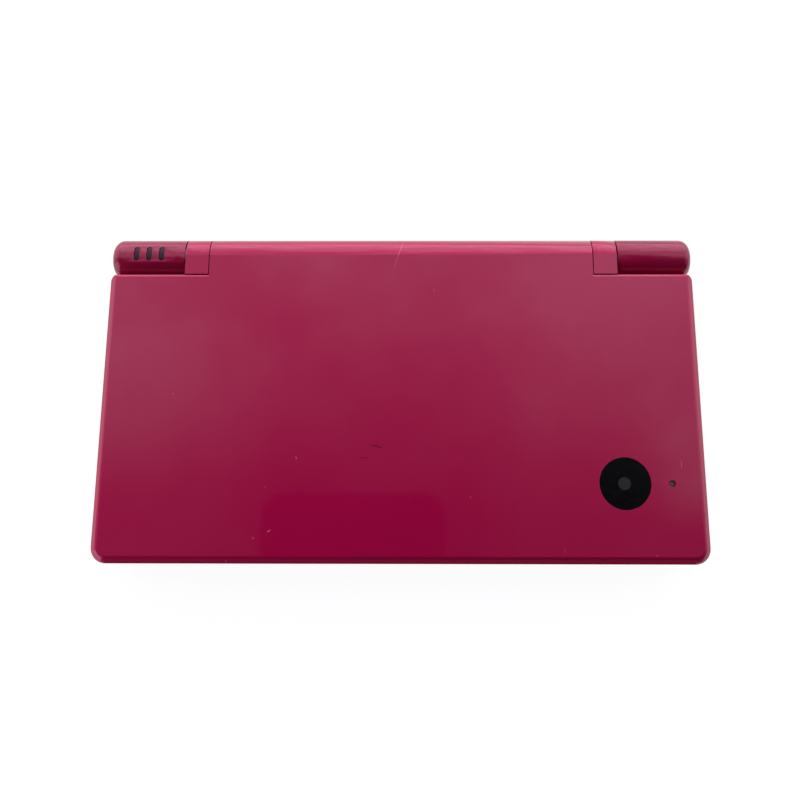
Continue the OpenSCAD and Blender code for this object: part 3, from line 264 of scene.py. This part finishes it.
def two_finishes(name, *colours, **settings):
    """Lacquer outside, and satin on the inner faces."""
    material, g = new_material(name)
    outside = lacquer(g, *colours, **settings)
    inside = satin(g, SATIN_MAGENTA, SATIN_DEEP)
    both = g.node("ShaderNodeMixShader", {0: inside_mask(g), 1: outside, 2: inside}).outputs[0]
    g.node("ShaderNodeOutputMaterial", {"Surface": both})
    return material


def plastic(name, base, light, roughness=0.35, depth=0.01, ior=1.5):
    """Moulded plastic with a fine grain and a slight change of tone over the piece."""
    material, g = new_material(name)
    place = g.place()
    cloud = g.noise(place, 60.0, 4.0, 0.55)
    grain = g.noise(place, 2600.0, 2.0, 0.6)
    colour = g.mix(g.tone(grain, 0.35, cloud, 0.65), base, light)
    rough = g.math("MULTIPLY_ADD", cloud, 0.12, roughness - 0.05)
    principled(g, Base_Color=colour, Roughness=rough, IOR=ior, Normal=g.bump(grain, depth * MM, 0.4))
    return material


def middle_of(node):
    """The middle of a node's box, seen from above."""
    low, high = (Vector(corner[:2]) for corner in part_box(node))
    return (low + high) / 2


def dotted_window(name, node, dot_r, shift, dark, pale, ior):
    """A dark window with a paler dot behind it, off the window's middle by shift (millimetres)."""
    material, g = new_material(name)
    place = g.place()
    x, y, _ = g.axes(place)
    middle = middle_of(node) + Vector(shift) * MM
    distance = g.vector("DISTANCE", g.flat(x, y), (*middle, 0.0))
    dot = g.smooth(distance, (dot_r - DOT_EDGE) * MM, (dot_r + DOT_EDGE) * MM, 1.0, 0.0)
    cloud = g.noise(place, 700.0, 3.0, 0.5)
    haze = tuple(0.5 * level for level in pale)
    colour = g.mix(g.math("MULTIPLY", cloud, 0.3), g.mix(dot, dark, pale), haze)
    rough = g.math("MULTIPLY_ADD", cloud, 0.06, 0.08)
    principled(g, Base_Color=colour, Roughness=rough, IOR=ior, Normal=g.bump(cloud, 0.003 * MM, 0.2))
    return material


def bordered_screen(name, node, dark, pale, roughness):
    """A glossy cover with a black border round the grey picture area."""
    material, g = new_material(name)
    place = g.place()
    x, y, _ = g.axes(place)
    middle = middle_of(node)
    in_x = g.math("SUBTRACT", PICTURE_W / 2, g.away(x, middle.x))
    in_y = g.math("SUBTRACT", PICTURE_D / 2, g.away(y, middle.y))
    picture = g.smooth(g.math("MINIMUM", in_x, in_y), -PICTURE_EDGE, PICTURE_EDGE)
    cloud = g.noise(place, 120.0, 4.0, 0.6)
    haze = tuple(1.6 * level for level in pale)
    colour = g.mix(g.math("MULTIPLY", cloud, 0.25), g.mix(picture, dark, pale), haze)
    rough = g.math("MULTIPLY_ADD", cloud, 0.08, roughness - 0.04)
    principled(g, Base_Color=colour, Roughness=rough, IOR=1.45, Normal=g.bump(cloud, 0.002 * MM, 0.2))
    return material


def drawn_metal(name, base, light):
    """Sheet metal with a fine drawn grain along X."""
    material, g = new_material(name)
    place = g.place()
    grain = g.noise(g.stretched(place, (40.0, 900.0, 900.0)), 6.0, 4.0, 0.6)
    cloud = g.noise(place, 90.0, 3.0, 0.5)
    colour = g.mix(g.tone(grain, 0.5, cloud, 0.5), base, light)
    rough = g.math("MULTIPLY_ADD", grain, 0.18, 0.24)
    principled(g, Base_Color=colour, Metallic=1.0, Roughness=rough, Normal=g.bump(grain, 0.008 * MM, 0.3))
    return material


# ------------------------------------------------------------------ materials

SHELL = one_finish("metallic_magenta", lacquer, MAGENTA, MAGENTA_DEEP)
LID_SHELL = one_finish("worn_metallic_magenta", lacquer, MAGENTA, MAGENTA_DEEP,
                       pale_marks=PALE_MARKS, dark_marks=DARK_MARKS)
LID_INSIDE = two_finishes("lid_gloss_and_satin", MAGENTA, MAGENTA_DEEP)
BASE_TOP = two_finishes("base_gloss_and_satin", BASE_MAGENTA, BASE_MAGENTA_DEEP, **DULL)
BASE_SHELL = one_finish("base_metallic_magenta", lacquer, BASE_MAGENTA, BASE_MAGENTA_DEEP, **DULL)
SHELL_SATIN = one_finish("satin_magenta", satin, SATIN_MAGENTA, SATIN_DEEP)
BUTTON = one_finish("button_magenta", satin, (0.36, 0.0060, 0.066), (0.30, 0.0045, 0.054), roughness=0.3)
STYLUS = one_finish("stylus_magenta", satin, (0.34, 0.0055, 0.062), (0.29, 0.0040, 0.051), roughness=0.34)
BLACK_PLASTIC = plastic("black_plastic", (0.010, 0.010, 0.011), (0.020, 0.020, 0.021), 0.45)
CAMERA_GLASS = dotted_window("camera_glass", "camera_window", 1.4, (-0.2, 0.0),
                             (0.0006, 0.0008, 0.0008), (0.029, 0.028, 0.027), 1.18)
INNER_CAMERA_GLASS = dotted_window("inner_camera_glass", "inner_camera_window", 0.8, (0.0, 0.0),
                                   (0.0010, 0.0010, 0.0012), (0.025, 0.023, 0.028), 1.3)
CAMERA_LIGHT = dotted_window("camera_light", "camera_light_pipe", 0.5, (-0.16, -0.12),
                             (0.030, 0.014, 0.018), (0.100, 0.066, 0.072), 1.3)
SCREEN_LENS = bordered_screen("screen_lens", "upper_screen_lens", (0.0022, 0.0022, 0.0025),
                              (0.011, 0.013, 0.014), 0.10)
TOUCH = bordered_screen("touch_film", "touch_panel", (0.006, 0.006, 0.0065), (0.024, 0.026, 0.028), 0.22)
LCD = plastic("lcd_dark", (0.012, 0.014, 0.016), (0.020, 0.022, 0.025), 0.2)
STEEL = drawn_metal("drawn_steel", (0.42, 0.42, 0.43), (0.62, 0.62, 0.63))
BOARD = plastic("board_green", (0.010, 0.060, 0.028), (0.016, 0.085, 0.040))
LIGHT_GUIDE = plastic("smoked_light_guide", (0.030, 0.013, 0.018), (0.050, 0.024, 0.031), ior=1.3)
SILICONE = plastic("silicone_grey", (0.16, 0.16, 0.165), (0.22, 0.22, 0.225), 0.6)
RUBBER = plastic("rubber_wine", (0.060, 0.006, 0.018), (0.085, 0.010, 0.027), 0.7, depth=0.03)
RIBBON = plastic("ribbon_amber", (0.36, 0.13, 0.02), (0.44, 0.18, 0.035), 0.3)
BATTERY = plastic("battery_grey", (0.10, 0.10, 0.105), (0.16, 0.16, 0.165), 0.45)
SWITCH = plastic("switch_grey", (0.28, 0.28, 0.28), (0.36, 0.36, 0.36), 0.4)

BY_SLOT = {
    "shell": SHELL, "button": BUTTON, "stylus": STYLUS, "black_plastic": BLACK_PLASTIC,
    "camera_glass": CAMERA_GLASS, "screen_lens": SCREEN_LENS, "touch": TOUCH, "lcd": LCD,
    "steel": STEEL, "board": BOARD, "light_guide": LIGHT_GUIDE, "silicone": SILICONE,
    "rubber": RUBBER, "ribbon": RIBBON, "battery": BATTERY, "switch": SWITCH,
}
BY_NODE = {
    "lid_outer_shell": LID_SHELL, "lid_inner_shell": LID_INSIDE, "base_upper_shell": BASE_TOP,
    "base_lower_shell": BASE_SHELL, "battery_cover": SHELL_SATIN,
    "inner_camera_window": INNER_CAMERA_GLASS, "camera_light_pipe": CAMERA_LIGHT,
}

# --------------------------------------------------------------- the CAD nodes

WELD = 0.002                # corners nearer than this are joined, in millimetres
EDGE = 0.08                 # the width of a softened edge, in millimetres
FINE_EDGE = {"lid_outer_shell": 0.06, "base_upper_shell": 0.06}
SHARP = math.radians(40)    # edges that turn by more are softened


def dress(node, obj):
    """Gives a CAD node its material and softens its edges."""
    slots = [slot.material.name.split(".")[0] for slot in obj.material_slots if slot.material]
    material = BY_NODE.get(node) or BY_SLOT[slots[0]]
    for slot in obj.material_slots:
        slot.material = material
    weld = obj.modifiers.new("weld", "WELD")
    weld.merge_threshold = WELD * MM
    bevel = obj.modifiers.new("edge", "BEVEL")
    bevel.width = FINE_EDGE.get(node, EDGE) * MM
    bevel.segments = 2
    bevel.limit_method = "ANGLE"
    bevel.angle_limit = SHARP
    bevel.use_clamp_overlap = True
    bevel.harden_normals = True
    bevel.miter_outer = "MITER_ARC"


for node, obj in NODES.items():
    dress(node, obj)

# --------------------------------------------------------------------- camera

CAMERA_PLACE = (0.00390, -0.02539, 0.23040)
CAMERA_TURN = (13.21, 0.482, 0.101)     # degrees about X, Y and Z
CAMERA_LENS = 41.762                    # focal length for a sensor 36 mm wide
CAMERA_SHIFT = (-0.01171, -0.13754)
CAMERA_NEAR = 0.005


def build_camera():
    """The camera that was fitted to the photograph's outline."""
    data = bpy.data.cameras.new("camera")
    camera = bpy.data.objects.new("camera", data)
    scene.collection.objects.link(camera)
    scene.camera = camera
    camera.location = CAMERA_PLACE
    camera.rotation_euler = [math.radians(degrees) for degrees in CAMERA_TURN]
    data.lens = CAMERA_LENS
    data.sensor_width = 36.0
    data.shift_x, data.shift_y = CAMERA_SHIFT
    data.clip_start = CAMERA_NEAR


# ---------------------------------------------------------------------- floor

FLOOR_HALF = 4.0
FLOOR_TONE = 0.82
FLOOR_WHITE = 0.93      # the floor's own light to the eye, below a white of 1
SHADOW_SHARE = 0.20     # the share of the light on the floor that the eye sees, with the shadow in it


def floor_material():
    """White to the eye with the console's soft shadow, white in the lacquer, and clear from below."""
    material, g = new_material("pale_floor")
    path = g.node("ShaderNodeLightPath").outputs
    # The eye gets the floor's own light and a share of the light that falls on it
    seen = g.math("MAXIMUM", path["Is Camera Ray"], path["Is Transmission Ray"])
    tone = g.mix(seen, (FLOOR_TONE,) * 3, (FLOOR_TONE * SHADOW_SHARE,) * 3)
    matt = g.node("ShaderNodeBsdfDiffuse", {"Color": tone}).outputs[0]
    own = g.math("MULTIPLY", seen, FLOOR_WHITE)
    white = g.node("ShaderNodeEmission", {"Color": WHITE, "Strength": own}).outputs[0]
    lit = g.node("ShaderNodeAddShader", {0: matt, 1: white}).outputs[0]
    glow = g.node("ShaderNodeEmission", {"Color": WHITE, "Strength": 1.0}).outputs[0]
    above = g.node("ShaderNodeMixShader", {0: path["Is Glossy Ray"], 1: lit, 2: glow}).outputs[0]
    below = g.node("ShaderNodeNewGeometry").outputs["Backfacing"]
    clear = g.node("ShaderNodeBsdfTransparent").outputs[0]
    surface = g.node("ShaderNodeMixShader", {0: below, 1: above, 2: clear}).outputs[0]
    g.node("ShaderNodeOutputMaterial", {"Surface": surface})
    return material


def build_floor():
    mesh = bpy.data.meshes.new("floor")
    edit = bmesh.new()
    corners = ((-1, -1), (1, -1), (1, 1), (-1, 1))
    edit.faces.new([edit.verts.new((FLOOR_HALF * x, FLOOR_HALF * y, 0.0)) for x, y in corners])
    edit.to_mesh(mesh)
    edit.free()
    floor = bpy.data.objects.new("floor", mesh)
    scene.collection.objects.link(floor)
    mesh.materials.append(floor_material())


# --------------------------------------------------------------------- studio

# Levels of light, where white is 1
GROUND_LEVEL = 0.03
FRONT_LEVEL = 0.11
OVERHEAD_LEVEL = 0.75
REAR_LEVEL = 1.35
SIDE_LEVEL = 0.35
RIGHT_GLOW = 0.40
LEFT_GLOW = 0.20
LAMP_LEVEL = 1.6
CLOUD_LEVELS = (0.72, 1.28)
STUDIO_TINT = (1.0, 0.98, 1.25)

# Places in the studio are directions: x to the right, y to the rear, z up
PATCH_X = -0.05
PATCH_DEPTH = 0.45
BLOCK_MIDDLE = (-0.0665, -0.028)
BLOCK_HALF = (0.0955, 0.0435)
BLOCK_CORNER = 0.024
BLOCK_EDGE = 0.003
BLOCK_DEPTH = 0.93
LAMP_TOWARDS = (-0.82, -0.572, 0.0)


def dimmed(g, level, share):
    """Takes a share of the light away."""
    return g.math("MULTIPLY", level, g.math("SUBTRACT", 1.0, share))


def dim_patch(g, x, y):
    """A dim patch overhead."""
    across = g.smooth(g.away(x, PATCH_X), 0.08, 0.18, PATCH_DEPTH, 0.0)
    return g.math("MULTIPLY", across, g.smooth(y, 0.15, 0.27, 1.0, 0.0))


def soft_glows(g, x, y):
    """Soft glows at the right and the left of the dim patch."""
    right = g.math("MULTIPLY", g.smooth(x, 0.21, 0.28, 0.0, RIGHT_GLOW), g.smooth(y, -0.03, 0.03))
    right = g.math("MULTIPLY", right, g.smooth(y, 0.08, 0.20, 1.0, 0.0))
    left = g.math("MULTIPLY", g.smooth(x, -0.34, -0.20, LEFT_GLOW, 0.0), g.smooth(y, 0.01, 0.10))
    left = g.math("MULTIPLY", left, g.smooth(y, 0.14, 0.25, 1.0, 0.0))
    return g.math("ADD", right, left)


def dark_block(g, x, y):
    """A dark block with rounded corners."""
    past = []
    for value, middle, half in zip((x, y), BLOCK_MIDDLE, BLOCK_HALF):
        beyond = g.math("SUBTRACT", g.away(value, middle), half - BLOCK_CORNER)
        past.append(g.math("MAXIMUM", beyond, 0.0))
    distance = g.vector("LENGTH", g.flat(*past))
    return g.smooth(distance, BLOCK_CORNER - BLOCK_EDGE, BLOCK_CORNER + BLOCK_EDGE, BLOCK_DEPTH, 0.0)


def front_lamp(g, x, y, z):
    """A narrow upright lamp at the front left."""
    around = g.vector("NORMALIZE", g.flat(x, y))
    lamp = g.smooth(g.vector("DOT_PRODUCT", around, LAMP_TOWARDS), 0.90, 0.97, 0.0, LAMP_LEVEL)
    return g.math("MULTIPLY", lamp, g.smooth(z, 0.55, 0.75, 1.0, 0.0))


def build_studio():
    """A studio seen by direction: bright behind, fading to dark in front, and white to the eye."""
    world = bpy.data.worlds.new("studio")
    scene.world = world
    world.use_nodes = True
    g = Graph(world.node_tree)
    direction = g.node("ShaderNodeTexCoord").outputs["Generated"]
    x, y, z = g.axes(direction)

    front = g.smooth(y, -0.35, 0.0, 0.0, FRONT_LEVEL)
    overhead = g.smooth(y, -0.02, 0.26, 0.0, OVERHEAD_LEVEL)
    rear_wall = g.smooth(y, 0.42, 0.95, 0.0, REAR_LEVEL)
    level = g.math("ADD", g.math("ADD", front, GROUND_LEVEL), g.math("ADD", overhead, rear_wall))
    level = dimmed(g, level, dim_patch(g, x, y))
    level = g.math("ADD", level, soft_glows(g, x, y))
    # Uneven cloth: broad soft clouds
    clouds = g.smooth(g.noise(direction, 7.0, 3.0, 0.55), 0.30, 0.70, *CLOUD_LEVELS)
    level = g.math("MULTIPLY", level, clouds)
    level = dimmed(g, level, dark_block(g, x, y))
    # Pale walls at both sides
    side = g.smooth(g.math("ABSOLUTE", x), 0.35, 0.95, 0.0, SIDE_LEVEL)
    level = g.math("ADD", level, g.math("MULTIPLY", side, g.smooth(y, -0.60, -0.10)))
    level = g.math("ADD", level, front_lamp(g, x, y, z))

    seen = g.node("ShaderNodeLightPath").outputs["Is Camera Ray"]
    strength = g.math("ADD", dimmed(g, level, seen), seen)
    tint = g.mix(seen, STUDIO_TINT, WHITE)
    sky = g.node("ShaderNodeBackground", {"Color": tint, "Strength": strength}).outputs[0]
    g.node("ShaderNodeOutputWorld", {"Surface": sky})


build_camera()
build_floor()
build_studio()
